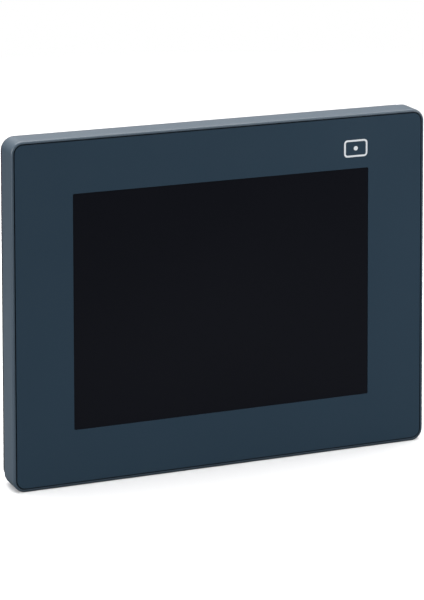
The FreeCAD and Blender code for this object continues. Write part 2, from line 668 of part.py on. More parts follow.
def make_neck():
    latch_back = "Size.latch_y + Size.latch_width"
    body = new_body("fixing_neck")
    sketch = new_sketch(body, "XY_Plane", "0")
    draw_polygon(sketch, [
        ("Size.neck_bore", "Size.board_y"),
        ("Size.flange_radius", "Size.board_y"),
        ("Size.flange_radius", "Size.pad_y"),
        ("Size.neck_shoulder", "Size.pad_y"),
        ("Size.neck_shoulder", "Size.plateau_y"),
        ("Size.neck_radius", "Size.plateau_y"),
        ("Size.neck_radius", "Size.collar_y"),
        ("Size.thread_crest", "Size.collar_y"),
        ("Size.thread_crest", "Size.thread_y - Size.thread_lead"),
        ("Size.thread_crest - Size.thread_lead", "Size.thread_y"),
        ("Size.stub_radius", "Size.thread_y"),
        ("Size.stub_radius", "Size.latch_y"),
        ("Size.latch_radius", "Size.latch_y"),
        ("Size.latch_radius", latch_back),
        ("Size.stub_radius", latch_back),
        ("Size.stub_radius - 0.5", "Size.stub_y"),
        ("Size.neck_bore", "Size.stub_y"),
    ])
    turned = body.newObject("PartDesign::Revolution", "Turned_neck")
    turned.Profile = (sketch, [""])
    turned.ReferenceAxis = (sketch, ["V_Axis"])
    turned.Angle = 360
    cut_between(body, "Size.board_y", "Size.pad_y", circles_at(NECK_SCREWS, "Size.neck_screw + 0.1"))

    # The thread is cut by a tapered tool whose narrow end makes the root.
    start = "Size.collar_y + 0.4"
    outside = "Size.thread_crest + 0.3"
    root = "Size.thread_crest - Size.thread_depth"
    tool_wide = "1.24"
    tool_slope = "0.53"
    thread = new_sketch(body, "XY_Plane", "0")
    draw_polygon(thread, [
        (outside, start),
        (root, f"{start} + {tool_slope}"),
        (root, f"{start} + {tool_wide} - {tool_slope}"),
        (outside, f"{start} + {tool_wide}"),
    ])
    helix = body.newObject("PartDesign::SubtractiveHelix", "Neck_thread")
    helix.Profile = (thread, [""])
    helix.ReferenceAxis = (thread, ["V_Axis"])
    helix.Mode = 0
    bind(helix, Pitch="Size.thread_pitch", Height="Size.thread_y - Size.collar_y")

    board_front = "Size.board_y - Size.board_thick"
    group("neck_screws", [
        screw(x, z, board_front, head=("1.8", "0.9"), shank=("Size.neck_screw", "4.5"), towards=1)
        for x, z in NECK_SCREWS
    ])

    socket_back = "17"
    socket = new_body("neck_receptacle")
    solid_between(socket, "Size.board_y", socket_back, lambda sketch: draw_rounded(sketch, "12", "8", "0.5"))
    cut_between(socket, "11.3", socket_back, lambda sketch: draw_rounded(sketch, "10", "6", "0.3"))


def make_panel_seals():
    gasket = new_body("panel_gasket")

    def ring(sketch):
        draw_circle(sketch, "Size.gasket_outer")
        draw_circle(sketch, "Size.gasket_inner")
    solid_between(gasket, "Size.plateau_y", "0", ring)

    tee = new_body("anti_rotation_tee")
    inside = "Size.plateau_y - Size.plateau_wall"
    at_tee = [("0", "Size.tee_z")]
    solid_between(tee, inside, "Size.tee_y", circles_at(at_tee, "Size.tee_radius"))
    solid_between(tee, f"{inside} - 1", inside, circles_at(at_tee, "3.4"))
    tip = value("Size.tee_y")
    round_edges(tee, "0.5", lambda edge: abs(edge.BoundBox.YMin - tip) < 0.01, "PartDesign::Chamfer")


# ---------------------------------------------------------------- washer and nut

def around(body, original, count):
    """Repeat a feature round the body's Y axis."""
    pattern = body.newObject("PartDesign::PolarPattern", f"Around_{body.Label}")
    pattern.Originals = [original]
    axis = next(item for item in body.Origin.OriginFeatures if item.Role == "Y_Axis")
    pattern.Axis = (axis, [""])
    pattern.Angle = 360
    pattern.Occurrences = count
    body.Tip = pattern
    return pattern


def make_washer_and_nut():
    washer_back = "Size.door_thick + Size.washer_thick"
    notch_root = "Size.washer_outer - 1.6"
    notch_mouth = "Size.washer_outer + 1"
    washer = new_body("lock_washer")

    def ring(sketch):
        draw_circle(sketch, "Size.washer_outer")
        draw_circle(sketch, "Size.washer_inner")
    solid_between(washer, "Size.door_thick", washer_back, ring)
    notch = cut_between(washer, "Size.door_thick", washer_back, lambda sketch: draw_polygon(sketch, [
        (notch_root, "-0.5"), (notch_mouth, "-1.6"), (notch_mouth, "1.6"), (notch_root, "0.5")]))
    around(washer, notch, 12)

    nut_back = f"{washer_back} + Size.nut_thick"
    slot_root = "Size.nut_outer - 2.2"
    slot_half = "2"
    nut = new_body("fixing_nut")

    def outline(sketch):
        draw_circle(sketch, "Size.nut_outer")
        draw_circle(sketch, "Size.nut_bore")
    solid_between(nut, washer_back, nut_back, outline)
    outer_radius = value("Size.nut_outer")
    round_edges(nut, "0.7", lambda edge: edge.BoundBox.XMax > outer_radius - 0.01
                and edge.BoundBox.YLength < 0.01, "PartDesign::Chamfer")
    cut_between(nut, washer_back, f"{washer_back} + 1", circles_at(AXIS, "Size.nut_bore + 0.6"))
    slot = cut_between(nut, f"{washer_back} + 1.6", nut_back, lambda sketch: draw_rectangle(
        sketch, slot_root, "Size.nut_outer + 1", f"-{slot_half}", slot_half))
    around(nut, slot, 8)


# ---------------------------------------------------------------- processor module

MODULE_SCREWS = corners("Size.module_screw_x", "Size.module_screw_z")
CPU_BACK = "Size.cpu_y + Size.cpu_thick"
MODULE_INSIDE = [f"Size.module_{side} - 2 * Size.module_wall" for side in ("width", "height")] + ["2"]
HALF_WIDE = "Size.module_width / 2"
HALF_HIGH = "Size.module_height / 2"
SCREW_HOLE = "Size.module_screw + 0.1"


def module_outline(sketch):
    draw_rounded(sketch, "Size.module_width", "Size.module_height", "Size.module_corner")


def on_both_sides(near, far, low, high):
    """Two rectangles, mirrored about X = 0, between the distances near and far from it."""
    def draw(sketch):
        draw_rectangle(sketch, near, far, low, high)
        draw_rectangle(sketch, f"-({far})", f"-({near})", low, high)
    return draw


def make_module_front_cover():
    body = new_body("module_front_cover")
    inside = "Size.module_y + Size.module_wall"
    within_wall = "Size.module_y + 0.5"
    floor_back = "Size.well_y + Size.well_floor"
    solid_between(body, "Size.module_y", "Size.part_y", module_outline)
    round_edges(body, "1.5", edge_at(value("Size.module_y"), value(HALF_WIDE), value(HALF_HIGH)))
    cut_between(body, inside, "Size.part_y", lambda sketch: draw_rounded(sketch, *MODULE_INSIDE))

    solid_between(body, within_wall, floor_back, circles_at(AXIS, "Size.well_radius + Size.module_wall"))
    cut_between(body, "Size.module_y", "Size.well_y", circles_at(AXIS, "Size.well_radius"))
    cut_between(body, "Size.well_y", floor_back, circles_at(AXIS, "Size.well_bore"))
    solid_between(body, within_wall, "Size.cpu_y", circles_at(MODULE_SCREWS, "Size.module_boss"))
    cut_between(body, "Size.module_y + 4", "Size.cpu_y", circles_at(MODULE_SCREWS, SCREW_HOLE))

    # Two rails guide the lock slider, and its tab leaves through a slot in the top wall.
    rail = ("Size.lock_half + 0.2", "Size.lock_half + 2")
    tab_slot = "Size.tab_half + 0.2"
    solid_between(body, within_wall, "Size.part_y - 0.3", on_both_sides(*rail, "24", "42"))
    cut_down(body, f"{HALF_HIGH} - Size.module_wall - 0.5", HALF_HIGH, lambda sketch: draw_rectangle(
        sketch, f"-({tab_slot})", tab_slot, "Size.lock_y - 0.15", "Size.part_y + 1"))


def make_module_back_cover():
    body = new_body("module_back_cover")
    low = f"-{HALF_HIGH}"
    wall = "Size.back_wall"
    within_back = "Size.back_y - 1"
    channel = "Size.clip_half + Size.clip_play"
    solid_between(body, "Size.part_y", "Size.back_y", module_outline)
    round_edges(body, "1.2", edge_at(value("Size.back_y"), value(HALF_WIDE), value(HALF_HIGH)))
    cut_between(body, "Size.part_y", f"Size.back_y - {wall}", lambda sketch: draw_rounded(
        sketch, *MODULE_INSIDE))

    # The recess for a 35 mm rail, open at both sides, with a fixed hook along its top.
    recess_low, recess_high = f"Size.rail_bottom - {wall}", f"Size.rail_top + {wall}"
    solid_between(body, f"Size.rail_y - {wall}", within_back, lambda sketch: draw_rectangle(
        sketch, f"-{HALF_WIDE} + 1", f"{HALF_WIDE} - 1", recess_low, recess_high))
    cut_between(body, "Size.rail_y", "Size.back_y", lambda sketch: draw_rectangle(
        sketch, f"-{HALF_WIDE} - 1", f"{HALF_WIDE} + 1", "Size.rail_bottom", "Size.rail_top"))
    solid_between(body, "Size.rail_hook_y", "Size.rail_hook_y + 2.8", lambda sketch: draw_rectangle(
        sketch, "-Size.hook_half", "Size.hook_half", "-Size.clip_top", "Size.rail_top + 0.5"))

    # The rail clip's channel, with two lips that hold the clip and a peg that holds its spring.
    solid_between(body, "Size.rail_hook_y - 2", within_back, lambda sketch: draw_rectangle(
        sketch, f"-({channel} + 2)", f"{channel} + 2", f"{low} + 1", "Size.rail_bottom - 1"))
    cut_between(body, "Size.rail_hook_y - Size.clip_play", "Size.back_y", lambda sketch: draw_rectangle(
        sketch, f"-({channel})", channel, f"{low} - 1", "Size.rail_bottom + 1"))
    solid_between(body, "Size.clip_back + Size.clip_play", "Size.back_y", on_both_sides(
        f"{channel} - 1.6", f"{channel} + 0.5", low, "-22"))
    solid_between(body, "Size.rail_hook_y - 1", "Size.clip_back - 0.6", lambda sketch: draw_rectangle(
        sketch, "-1.2", "1.2", "Size.peg_top - 1.6", "Size.peg_top"))

    # Screw bosses stand on the board, and their heads are sunk from behind.
    head_seat = "Size.back_y - 2.8"
    solid_between(body, CPU_BACK, within_back, circles_at(MODULE_SCREWS, "Size.module_boss"))
    cut_between(body, CPU_BACK, "Size.back_y", circles_at(MODULE_SCREWS, SCREW_HOLE))
    cut_between(body, head_seat, "Size.back_y", circles_at(MODULE_SCREWS, "Size.module_screw + 1.3"))

    def port_mouths(sketch):
        for x0, x1, y0, y1 in port_places():
            draw_rectangle(sketch, f"{x0} - 0.3", f"{x1} + 0.3", f"{y0} - 0.3", f"{y1} + 0.3")
        draw_rectangle(sketch, "Size.plug_x - Size.plug_half + 0.5", "Size.plug_x + Size.plug_half - 0.5",
                       "23.9", "30.7")
    cut_down(body, f"{low} - 1", f"{low} + Size.module_wall + 0.5", port_mouths)

    def vents(sketch):
        for step in range(-4, 5):
            draw_rounded(sketch, "2.4", "9", "1.1", f"{step} * Size.vent_pitch", "27.5")
    cut_down(body, f"{HALF_HIGH} - Size.module_wall - 0.5", f"{HALF_HIGH} + 1", vents)
    group("module_screws", [
        screw(x, z, head_seat, head=("Size.module_screw + 1.2", "2"), shank=("Size.module_screw", "25"))
        for x, z in MODULE_SCREWS
    ])


def port_places():
    """Left, right, front and rear of each socket on the processor board's lower edge: network,
    serial, USB type A standing on edge, and small USB type B."""
    tall_back = f"{CPU_BACK} + 13.4"
    flat_back = f"{CPU_BACK} + 4"
    return [
        ("12.3", "28.3", CPU_BACK, tall_back),
        ("30.4", "46.4", CPU_BACK, tall_back),
        ("-20.6", "-14.8", CPU_BACK, tall_back),
        ("-29.9", "-22.2", CPU_BACK, flat_back),
    ]


def make_cpu_board():
    front = "Size.cpu_y"
    body = new_body("cpu_board")
    solid_between(body, front, CPU_BACK, lambda sketch: draw_rounded(
        sketch, "Size.cpu_width", "Size.cpu_height", "2"))
    cut_between(body, front, CPU_BACK, circles_at(MODULE_SCREWS, SCREW_HOLE))

    # Each package: left, right, bottom, top and its height above the board.
    packages = [
        (10, 30, -4, 16, 1.6),
        (34, 46, -4, 10, 1.4),
        (34, 46, -16, -6, 1.4),
        (-14, 4, 24, 34, 2.2),
        (14, 26, 24, 36, 1.8),
    ]
    large = [
        block(x0, x1, CPU_BACK, f"{CPU_BACK} + {height}", z0, z1) for x0, x1, z0, z1, height in packages
    ]
    small = [
        block(x, x + 2, CPU_BACK, f"{CPU_BACK} + 1", z, z + 1.2)
        for x in range(-44, 46, 9) for z in (19, 21.5)
    ]
    group("cpu_chips", large + small)

    # The shield is an open-bottomed can of thin sheet with rows of round vents.
    sheet = 0.3
    left, right, half = -42, -6, 14
    shield_back = f"{CPU_BACK} + 4"
    inner_half = half - sheet
    shield = block(left, right, CPU_BACK, shield_back, -half, half)
    hollow = block(left + sheet, right - sheet, CPU_BACK, f"{shield_back} - {sheet}", -inner_half, inner_half)
    holes = [
        rod("0.9", f"{shield_back} - 0.5", f"{shield_back} + 0.2", x, z)
        for x in range(-38, -8, 6) for z in (-9, -3, 3, 9)
    ]
    keep("cpu_shield", without(shield, [hollow] + holes))

    # Each can stands on a square base: middle across, middle up and radius.
    cans = [(-40, 30, 4), (-30, 30, 4), (-40, 18, 3.15), (-46, 8, 2.5), (-46, -2, 2.5)]
    base_front = f"{front} - 0.8"
    can_front = f"{front} - 9.4"
    group("capacitors", [
        joined([
            rod(radius, can_front, base_front, x, z),
            block(x - radius, x + radius, base_front, front, z - radius, z + radius),
        ])
        for x, z, radius in cans
    ])

    coil_side = 10
    coil_base = f"{front} - 1.2"
    group("inductors", [
        joined([
            block(x, x + coil_side, coil_base, front, z, z + coil_side),
            rod("4.6", f"{front} - 5", coil_base, x + coil_side / 2, z + coil_side / 2),
        ])
        for x, z in ((26, 24), (40, 24), (30, -34))
    ])

    plug = new_body("link_plug")
    solid_between(plug, "12", front, lambda sketch: draw_rounded(sketch, "9.6", "5.6", "0.3"))
    solid_between(plug, f"{front} - 0.3", front, lambda sketch: draw_rounded(sketch, "13", "9", "0.5"))


def make_network_jack(name, x0, x1, y0, y1):
    """A square socket with a comb of eight contacts, its mouth facing down."""
    entry = "Size.port_z - 1"
    shell = block(x0, x1, y0, y1, "Size.port_z", "Size.port_z + 20")
    mouth = block(f"{x0} + 2.1", f"{x1} - 2.1", f"{y0} + 2.6", f"{y1} - 3", entry, "Size.port_z + 13")
    latch = block(f"{x0} + 4.8", f"{x1} - 4.8", f"{y1} - 3.2", f"{y1} - 1.4", entry, "Size.port_z + 9")
    contact_pitch = 1.02
    contacts = []
    for number in range(8):
        left = f"{x0} + 4.2 + {number} * {contact_pitch}"
        contacts.append(block(
            left, f"{left} + 0.4", f"{y0} + 2.4", f"{y0} + 3.6", "Size.port_z + 2.5", "Size.port_z + 13.2"))
    keep(name, joined([without(shell, [mouth, latch])] + contacts))


def make_usb_port(name, place, depth, tongue):
    """A sheet metal socket with a plastic-like tongue, its mouth facing down."""
    x0, x1, y0, y1 = place
    wall = 0.35
    top = f"Size.port_z + {depth}"
    shell = block(x0, x1, y0, y1, "Size.port_z", top)
    mouth = block(f"{x0} + {wall}", f"{x1} - {wall}", f"{y0} + {wall}", f"{y1} - {wall}",
                  "Size.port_z - 1", f"{top} - 1.5")
    blade = block(*tongue, "Size.port_z + 1", f"{top} - 1")
    keep(name, joined([without(shell, [mouth]), blade]))


def make_ports():
    network, serial, usb_a, usb_b = port_places()
    make_network_jack("ethernet_port", *network)
    make_network_jack("serial_port", *serial)
    x0, x1, y0, y1 = usb_a
    make_usb_port("usb_a_port", usb_a, 14, (f"{x0} + 1", f"{x0} + 2.9", f"{y0} + 1.1", f"{y1} - 1.1"))
    x0, x1, y0, y1 = usb_b
    make_usb_port("usb_mini_b_port", usb_b, 9, (f"{x0} + 2", f"{x1} - 2", f"{y0} + 1.5", f"{y1} - 1.6"))


# ---------------------------------------------------------------- power connector

POLES = [f"Size.plug_x + {step} * Size.pole_pitch" for step in (-1, 0, 1)]
PLUG_LEFT = "Size.plug_x - Size.plug_half"
PLUG_RIGHT = "Size.plug_x + Size.plug_half"
PIN_FRONT, PIN_BACK = "27.3", "28.3"
STRIP_FRONT, STRIP_BACK = "26.75", "27.15"


def about(x, half, y0, y1, z0, z1):
    """A block whose middle across is x."""
    return block(f"{x} - {half}", f"{x} + {half}", y0, y1, z0, z1)


def make_power_header():
    mouth, roof = "-44", "-33"
    back = f"{CPU_BACK} + 8.4"
    header = block(PLUG_LEFT, PLUG_RIGHT, CPU_BACK, back, mouth, roof)
    hollow = block(f"{PLUG_LEFT} + 0.8", f"{PLUG_RIGHT} - 0.8", f"{CPU_BACK} + 1", f"{back} - 0.8",
                   f"{mouth} - 1", f"{roof} - 2")
    bores = [about(x, "0.5", PIN_FRONT, PIN_BACK, f"{roof} - 3", f"{roof} + 1") for x in POLES]
    keep("power_header", without(header, [hollow] + bores))
    group("header_pins", [
        joined([
            about(x, "0.5", PIN_FRONT, PIN_BACK, f"{mouth} + 1", f"{roof} + 1"),
            about(x, "0.5", CPU_BACK, PIN_BACK, roof, f"{roof} + 1"),
        ])
        for x in POLES
    ])


def make_power_plug():
    body = block(PLUG_LEFT, PLUG_RIGHT, "Size.plug_front", "Size.plug_back",
                 "Size.plug_bottom", "Size.plug_top")
    tongue = block(f"{PLUG_LEFT} + 1", f"{PLUG_RIGHT} - 1", "24.2", "30.4", "Size.plug_top", "-35.6")
    cuts = []
    for x in POLES:
        pin_way = about(x, "0.8", "26.7", "28.6", "-52", "-35")
        cage_room = about(x, "2.1", "23.7", "31", "Size.pole_z - 3", "Size.pole_z + 3")
        wire_entry = about(x, "1.5", "24.9", "27.9", "Size.plug_bottom - 1", "Size.pole_z")
        strip_way = about(x, "1.35", "26.7", "27.2", "-51.2", "-46")
        screw_way = rod("Size.clamp_screw + 0.1", "30.5", "Size.plug_back", x, "Size.pole_z")
        head_well = rod("1.9", "31.6", "Size.plug_back + 1", x, "Size.pole_z")
        cuts += [pin_way, cage_room, wire_entry, strip_way, screw_way, head_well]
    keep("power_plug", without(joined([body, tongue]), cuts))
    group("plug_contacts", [
        joined([
            about(x, "1.3", STRIP_FRONT, STRIP_BACK, "-56.9", "-46.1"),
            about(x, "0.75", STRIP_FRONT, STRIP_BACK, "-46.2", "-36"),
        ])
        for x in POLES
    ])


def make_wire_clamps():
    """For each pole, a square cage that a screw draws up against the contact strip."""
    for number, x in enumerate(POLES, start=1):
        cage = about(x, "1.9", "23.9", "28.9", "Size.pole_z - 2", "Size.pole_z + 2")
        window = about(x, "1.45", "24.7", "27.9", "Size.pole_z - 3", "Size.pole_z + 3")
        bore = rod("Size.clamp_screw + 0.1", "27.5", "29.5", x, "Size.pole_z")
        keep(f"plug_clamp_cage_{number}", without(cage, [window, bore]))

        head_front, head_back = "31.8", "33.4"
        whole = joined([
            rod("1.7", head_front, head_back, x, "Size.pole_z"),
            rod("Size.clamp_screw", "27.3", head_front, x, "Size.pole_z"),
        ])
        slot = about(x, "2", "32.6", "34", "Size.pole_z - 0.25", "Size.pole_z + 0.25")
        keep(f"plug_screw_{number}", without(whole, [slot]))


# ---------------------------------------------------------------- lock slider, rail clip, label

def make_lock_slider():
    back = "Size.lock_y + Size.lock_thick"
    foot, shoulder, tab_root = "-13", "37", "40"
    body = new_body("lock_slider")

    def outline(sketch):
        draw_polygon(sketch, [
            ("-Size.lock_half", foot), ("Size.lock_half", foot), ("Size.lock_half", shoulder),
            ("Size.tab_half", tab_root), ("Size.tab_half", "Size.tab_top"),
            ("-Size.tab_half", "Size.tab_top"), ("-Size.tab_half", tab_root), ("-Size.lock_half", shoulder),
        ])
    solid_between(body, "Size.lock_y", back, outline)
    cut_between(body, "Size.lock_y", back, circles_at(AXIS, "Size.lock_hole"))
    cut_between(body, "Size.lock_y", back, circles_at([("0", "Size.lock_travel")], "Size.lock_slot"))
    cut_between(body, "Size.lock_y", back, lambda sketch: draw_rectangle(
        sketch, "-Size.lock_slot", "Size.lock_slot", "0", "Size.lock_travel"))
    solid_between(body, "Size.lock_y - 1.2", f"{back} + 1.2", lambda sketch: draw_rectangle(
        sketch, "-Size.tab_half", "Size.tab_half", "Size.tab_top - 3.8", "Size.tab_top"))


def make_din_clip():
    body = new_body("din_clip")
    front, back = "Size.rail_hook_y", "Size.clip_back"
    solid_between(body, front, back, lambda sketch: draw_rectangle(
        sketch, "-Size.clip_half", "Size.clip_half", "Size.clip_bottom", "Size.clip_top"))
    cut_between(body, front, back, lambda sketch: draw_rectangle(
        sketch, "-Size.slot_half", "Size.slot_half", "Size.slot_bottom", "Size.slot_top"))
    cut_between(body, front, back, lambda sketch: draw_rounded(
        sketch, "6", "2", "0.5", "0", "Size.clip_bottom + 2"))

    # The nose is thinner than the clip and bevelled, so that the rail's edge can push it down.
    nose_top = "Size.clip_top + 0.5"
    nose_foot = "Size.rail_bottom - 0.8"
    nose = new_sketch(body, "YZ_Plane", "Size.clip_half + 1")
    draw_polygon(nose, [
        (f"{front} + 1.2", nose_top),
        (f"{back} + 1", nose_top),
        (f"{back} + 1", nose_foot),
        (f"{front} + 3.2", nose_foot),
    ])
    feature(body, "PartDesign::Pocket", nose, "2 * Size.clip_half + 2")


def make_clip_spring():
    spring = new_body("din_clip_spring")
    wire = new_sketch(spring, "YZ_Plane", "0")
    middle = "(Size.rail_hook_y + Size.clip_back) / 2"
    bottom = "Size.peg_top + Size.spring_wire"
    draw_circle(wire, "Size.spring_wire", f"{middle} + Size.spring_radius", bottom)
    reach = 2
    low_end, high_end = (Vector(value(middle), value(bottom) + side, 0) for side in (-reach, reach))
    axis_line = wire.addGeometry(Part.LineSegment(low_end, high_end), True)
    wire.addConstraint(Sketcher.Constraint("Vertical", axis_line))
    pin_point(wire, axis_line, 1, middle, f"{bottom} - {reach}")
    coil = spring.newObject("PartDesign::AdditiveHelix", "Coil")
    coil.Profile = (wire, [""])
    coil.ReferenceAxis = (wire, ["Axis0"])
    coil.Mode = 0
    bind(coil, Pitch="Size.spring_pitch", Height="Size.slot_top - Size.peg_top - 2 * Size.spring_wire")


def make_rating_label():
    body = new_body("rating_label")
    solid_between(body, "Size.back_y", "Size.back_y + Size.label_thick", lambda sketch: draw_rounded(
        sketch, "88", "15", "1.5", "0", "32"))


make_front_bezel()
make_films_and_glass()
make_touch_tail()
make_liquid_crystal_display()
make_display_chassis()
make_display_board()
make_rear_cover()
make_neck()
make_panel_seals()
make_washer_and_nut()
make_module_front_cover()
make_module_back_cover()
make_cpu_board()
make_ports()
make_power_header()
make_power_plug()
make_wire_clamps()
make_lock_slider()
make_din_clip()
make_clip_spring()
make_rating_label()
doc.recompute()

faults = [
    f"{thing.Name} ({thing.Label}): {state}"
    for thing in doc.Objects for state in thing.State if state in ("Invalid", "Error")
]
for name, thing in NODES.items():
    if thing.Shape.isNull() or not thing.Shape.isValid() or not thing.Shape.Solids:
        faults.append(f"{name}: bad shape")
if faults:
    raise RuntimeError("; ".join(faults))

os.makedirs("parts", exist_ok=True)
for name, thing in NODES.items():
    thing.Shape.exportStep(f"parts/{name}.step")
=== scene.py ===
"""The touch panel's visual model: materials, softened edges, added pieces, lights and camera.

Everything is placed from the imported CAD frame. Lengths are in metres unless a comment says otherwise.
"""

import math

import bpy
from mathutils import Matrix, Vector


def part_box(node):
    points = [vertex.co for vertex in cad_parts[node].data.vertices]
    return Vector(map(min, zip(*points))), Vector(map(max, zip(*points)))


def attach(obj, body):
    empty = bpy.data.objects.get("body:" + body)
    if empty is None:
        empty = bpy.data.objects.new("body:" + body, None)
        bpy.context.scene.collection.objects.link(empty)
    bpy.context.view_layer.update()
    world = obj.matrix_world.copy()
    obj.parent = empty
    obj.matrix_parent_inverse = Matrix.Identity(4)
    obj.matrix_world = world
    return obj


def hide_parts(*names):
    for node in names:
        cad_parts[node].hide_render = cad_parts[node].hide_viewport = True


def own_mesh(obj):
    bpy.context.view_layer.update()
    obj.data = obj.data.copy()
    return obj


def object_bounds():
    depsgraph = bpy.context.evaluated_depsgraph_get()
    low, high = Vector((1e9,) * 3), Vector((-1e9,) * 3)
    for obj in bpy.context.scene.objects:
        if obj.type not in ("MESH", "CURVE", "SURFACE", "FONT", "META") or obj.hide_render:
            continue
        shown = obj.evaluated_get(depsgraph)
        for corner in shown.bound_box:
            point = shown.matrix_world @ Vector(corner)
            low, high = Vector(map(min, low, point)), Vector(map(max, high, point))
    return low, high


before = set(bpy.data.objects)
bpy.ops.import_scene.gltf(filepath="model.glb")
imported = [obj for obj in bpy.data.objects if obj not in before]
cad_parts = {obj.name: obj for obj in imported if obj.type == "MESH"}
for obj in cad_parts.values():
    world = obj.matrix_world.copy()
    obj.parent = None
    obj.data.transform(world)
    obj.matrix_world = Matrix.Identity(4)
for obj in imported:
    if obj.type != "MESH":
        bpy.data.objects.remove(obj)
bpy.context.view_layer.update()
MM = 0.001
# Most values of a noise texture lie between these two.
USUAL_NOISE = (0.3, 0.7)


# ---------------------------------------------------------------- node helpers

class Look:
    """A material under construction: a principled shader and short calls that add nodes to it."""

    def __init__(self, name):
        self.material = bpy.data.materials.new(name)
        self.material.use_nodes = True
        self.tree = self.material.node_tree
        self.shader = self.tree.nodes["Principled BSDF"]
        self.place = self.node("ShaderNodeTexCoord").outputs["Object"]

    def node(self, kind, **settings):
        made = self.tree.nodes.new(kind)
        for key, setting in settings.items():
            setattr(made, key, setting)
        return made

    def feed(self, socket, source):
        """Give an input a value or another node's output."""
        if isinstance(source, bpy.types.NodeSocket):
            self.tree.links.new(source, socket)
        elif isinstance(source, (tuple, list)) and socket.type == "RGBA" and len(source) == 3:
            socket.default_value = (*source, 1.0)
        else:
            socket.default_value = source

    def set(self, **inputs):
        """Set the shader's inputs. An underscore stands for a space in an input's name."""
        for key, source in inputs.items():
            self.feed(self.shader.inputs[key.replace("_", " ")], source)
        return self

    def math(self, operation, first, second=0.0):
        made = self.node("ShaderNodeMath", operation=operation)
        self.feed(made.inputs[0], first)
        self.feed(made.inputs[1], second)
        return made.outputs[0]

    def stretched(self, scale):
        """Object coordinates multiplied by a scale for each axis."""
        made = self.node("ShaderNodeVectorMath", operation="MULTIPLY")
        self.feed(made.inputs[0], self.place)
        made.inputs[1].default_value = scale
        return made.outputs[0]

    def axes(self):
        """The x, y and z outputs of the object coordinates."""
        made = self.node("ShaderNodeSeparateXYZ")
        self.feed(made.inputs[0], self.place)
        return made.outputs

    def noise(self, scale, detail=2.0, rough=0.5, place=None):
        made = self.node("ShaderNodeTexNoise")
        self.feed(made.inputs["Vector"], place or self.place)
        made.inputs["Scale"].default_value = scale
        made.inputs["Detail"].default_value = detail
        made.inputs["Roughness"].default_value = rough
        return made.outputs["Fac"]

    def cells(self, scale, place=None, output="Distance"):
        made = self.node("ShaderNodeTexVoronoi")
        self.feed(made.inputs["Vector"], place or self.place)
        made.inputs["Scale"].default_value = scale
        return made.outputs[output]

    def remap(self, source, low, high, to_low, to_high):
        made = self.node("ShaderNodeMapRange")
        self.feed(made.inputs["Value"], source)
        for key, number in (("From Min", low), ("From Max", high), ("To Min", to_low), ("To Max", to_high)):
            self.feed(made.inputs[key], number)
        return made.outputs["Result"]

    def spread(self, noise, to_low=0.0, to_high=1.0):
        """A noise texture's usual values stretched from one number to another."""
        return self.remap(noise, *USUAL_NOISE, to_low, to_high)

    def mix(self, share, first, second):
        """A colour between two others."""
        made = self.node("ShaderNodeMix", data_type="RGBA")
        self.feed(made.inputs[0], share)
        self.feed(made.inputs[6], first)
        self.feed(made.inputs[7], second)
        return made.outputs[2]

    def bump(self, height, distance):
        """Finish the material with a bump as deep as distance, in metres."""
        made = self.node("ShaderNodeBump")
        made.inputs["Strength"].default_value = 1.0
        made.inputs["Distance"].default_value = distance
        self.feed(made.inputs["Height"], height)
        self.feed(self.shader.inputs["Normal"], made.outputs["Normal"])
        return self


def srgb(red, green, blue):
    """A linear colour from the 0 to 255 values of a screen colour."""
    def linear(channel):
        share = channel / 255
        return share / 12.92 if share <= 0.04045 else ((share + 0.055) / 1.055) ** 2.4
    return tuple(linear(channel) for channel in (red, green, blue))


def scaled(colour, factor):
    return tuple(channel * factor for channel in colour)


# ---------------------------------------------------------------- materials

def moulded_plastic(name, colour, rough=0.5, grain=0.35, depth=0.012, specular=0.5):
    """Plastic from a spark-eroded mould: a fine pitted grain, faint flow shading, soft handling sheen.
    grain is the size of the grain and depth its height, in millimetres."""
    look = Look(name)
    flow = look.noise(14.0, 3.0, 0.55)
    speck = look.noise(1.0 / (grain * MM), 3.0, 0.6)
    pits = look.cells(0.8 / (grain * MM))
    shade = look.spread(flow)
    base = look.mix(shade, scaled(colour, 0.93), scaled(colour, 1.07))
    base = look.mix(look.remap(speck, 0.35, 0.75, 0.0, 0.35), base, scaled(colour, 1.35))
    look.set(Base_Color=base, Specular_IOR_Level=specular)
    handled = look.noise(38.0, 4.0, 0.6)
    look.set(Roughness=look.spread(handled, rough - 0.05, rough + 0.06))
    height = look.math("ADD", speck, look.math("MULTIPLY", pits, 0.6))
    return look.bump(height, depth * MM)


def printed_film(name, colour, rough=0.45):
    """Polyester film printed from behind: an even colour under a fine anti-glare coat."""
    look = Look(name)
    drift = look.noise(9.0)
    base = look.mix(look.spread(drift), scaled(colour, 0.96), scaled(colour, 1.05))
    dots = look.noise(9000.0, 1.0)
    base = look.mix(look.remap(dots, 0.4, 0.7, 0.0, 0.25), base, scaled(colour, 1.2))
    look.set(Base_Color=base, Specular_IOR_Level=0.22)
    look.set(Roughness=look.spread(look.noise(60.0, 4.0, 0.6), rough - 0.03, rough + 0.05))
    return look.bump(look.noise(5200.0), 0.004 * MM)


def ruled_label(name, colour, pitch=3.0, line=0.16):
    """Silvered label stock with faint ruled lines, left blank; pitch and line are in millimetres."""
    look = Look(name)
    step = look.math("FRACT", look.math("MULTIPLY", look.axes()["Z"], 1.0 / (pitch * MM)))
    rule = look.math("LESS_THAN", step, line / pitch)
    fibre = look.noise(700.0, 4.0, 0.6, look.stretched((0.1, 1.0, 1.0)))
    base = look.mix(look.spread(fibre), scaled(colour, 0.9), scaled(colour, 1.06))
    look.set(Base_Color=look.mix(rule, base, scaled(colour, 0.3)), Metallic=0.35)
    look.set(Roughness=look.spread(fibre, 0.38, 0.5))
    return look.bump(fibre, 0.004 * MM)


